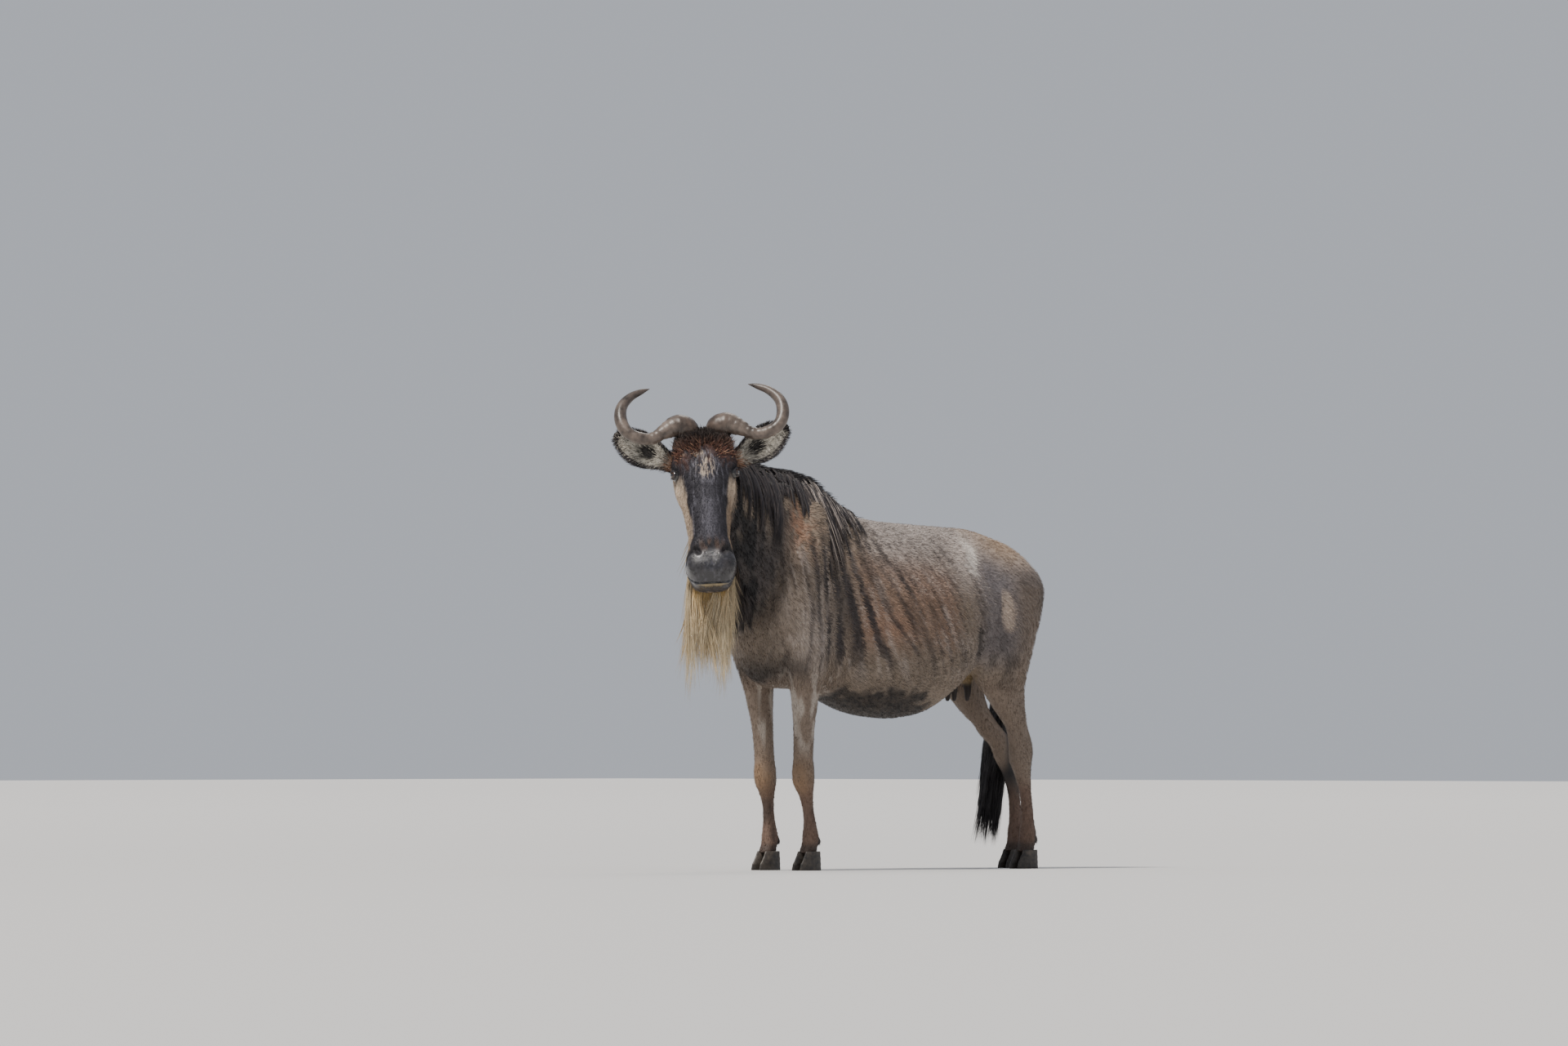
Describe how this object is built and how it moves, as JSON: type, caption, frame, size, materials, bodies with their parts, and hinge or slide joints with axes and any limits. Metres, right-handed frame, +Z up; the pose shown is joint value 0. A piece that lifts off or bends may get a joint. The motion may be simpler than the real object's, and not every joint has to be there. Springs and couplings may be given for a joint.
{
  "type": "wildebeest",
  "caption": "Life-size still model of a standing cow wildebeest, head turned to its left, with upswept horns, mane, pale beard and long black tail.",
  "frame": {"origin": "on the floor, under the middle of the animal's bounding box", "axes": "+Z up, -X the way the body points (the head turns from it to the left), -Y the animal's left side"},
  "size_m": [1.8532, 0.5271, 1.4937],
  "materials": {
    "coat": "short grey-brown fur with dark bands",
    "mane": "long black hair",
    "face": "short black and tan fur with a pale beard",
    "eye": "glossy dark brown",
    "horn": "satin grey-brown horn",
    "hoof": "satin dark horn",
    "udder": "soft bare skin"
  },
  "bodies": {
    "root": {"torso": "coat", "neck": "mane", "head": "face", "ear_left": "coat", "ear_right": "coat", "eye_left": "eye", "eye_right": "eye", "horn_left": "horn", "horn_right": "horn", "foreleg_left": "coat", "foreleg_right": "coat", "hindleg_left": "coat", "hindleg_right": "coat", "hoof_fore_left_inner": "hoof", "hoof_fore_left_outer": "hoof", "hoof_fore_right_inner": "hoof", "hoof_fore_right_outer": "hoof", "hoof_hind_left_inner": "hoof", "hoof_hind_left_outer": "hoof", "hoof_hind_right_inner": "hoof", "hoof_hind_right_outer": "hoof", "udder": "udder", "tail": "mane"}
  },
  "joints": []
}
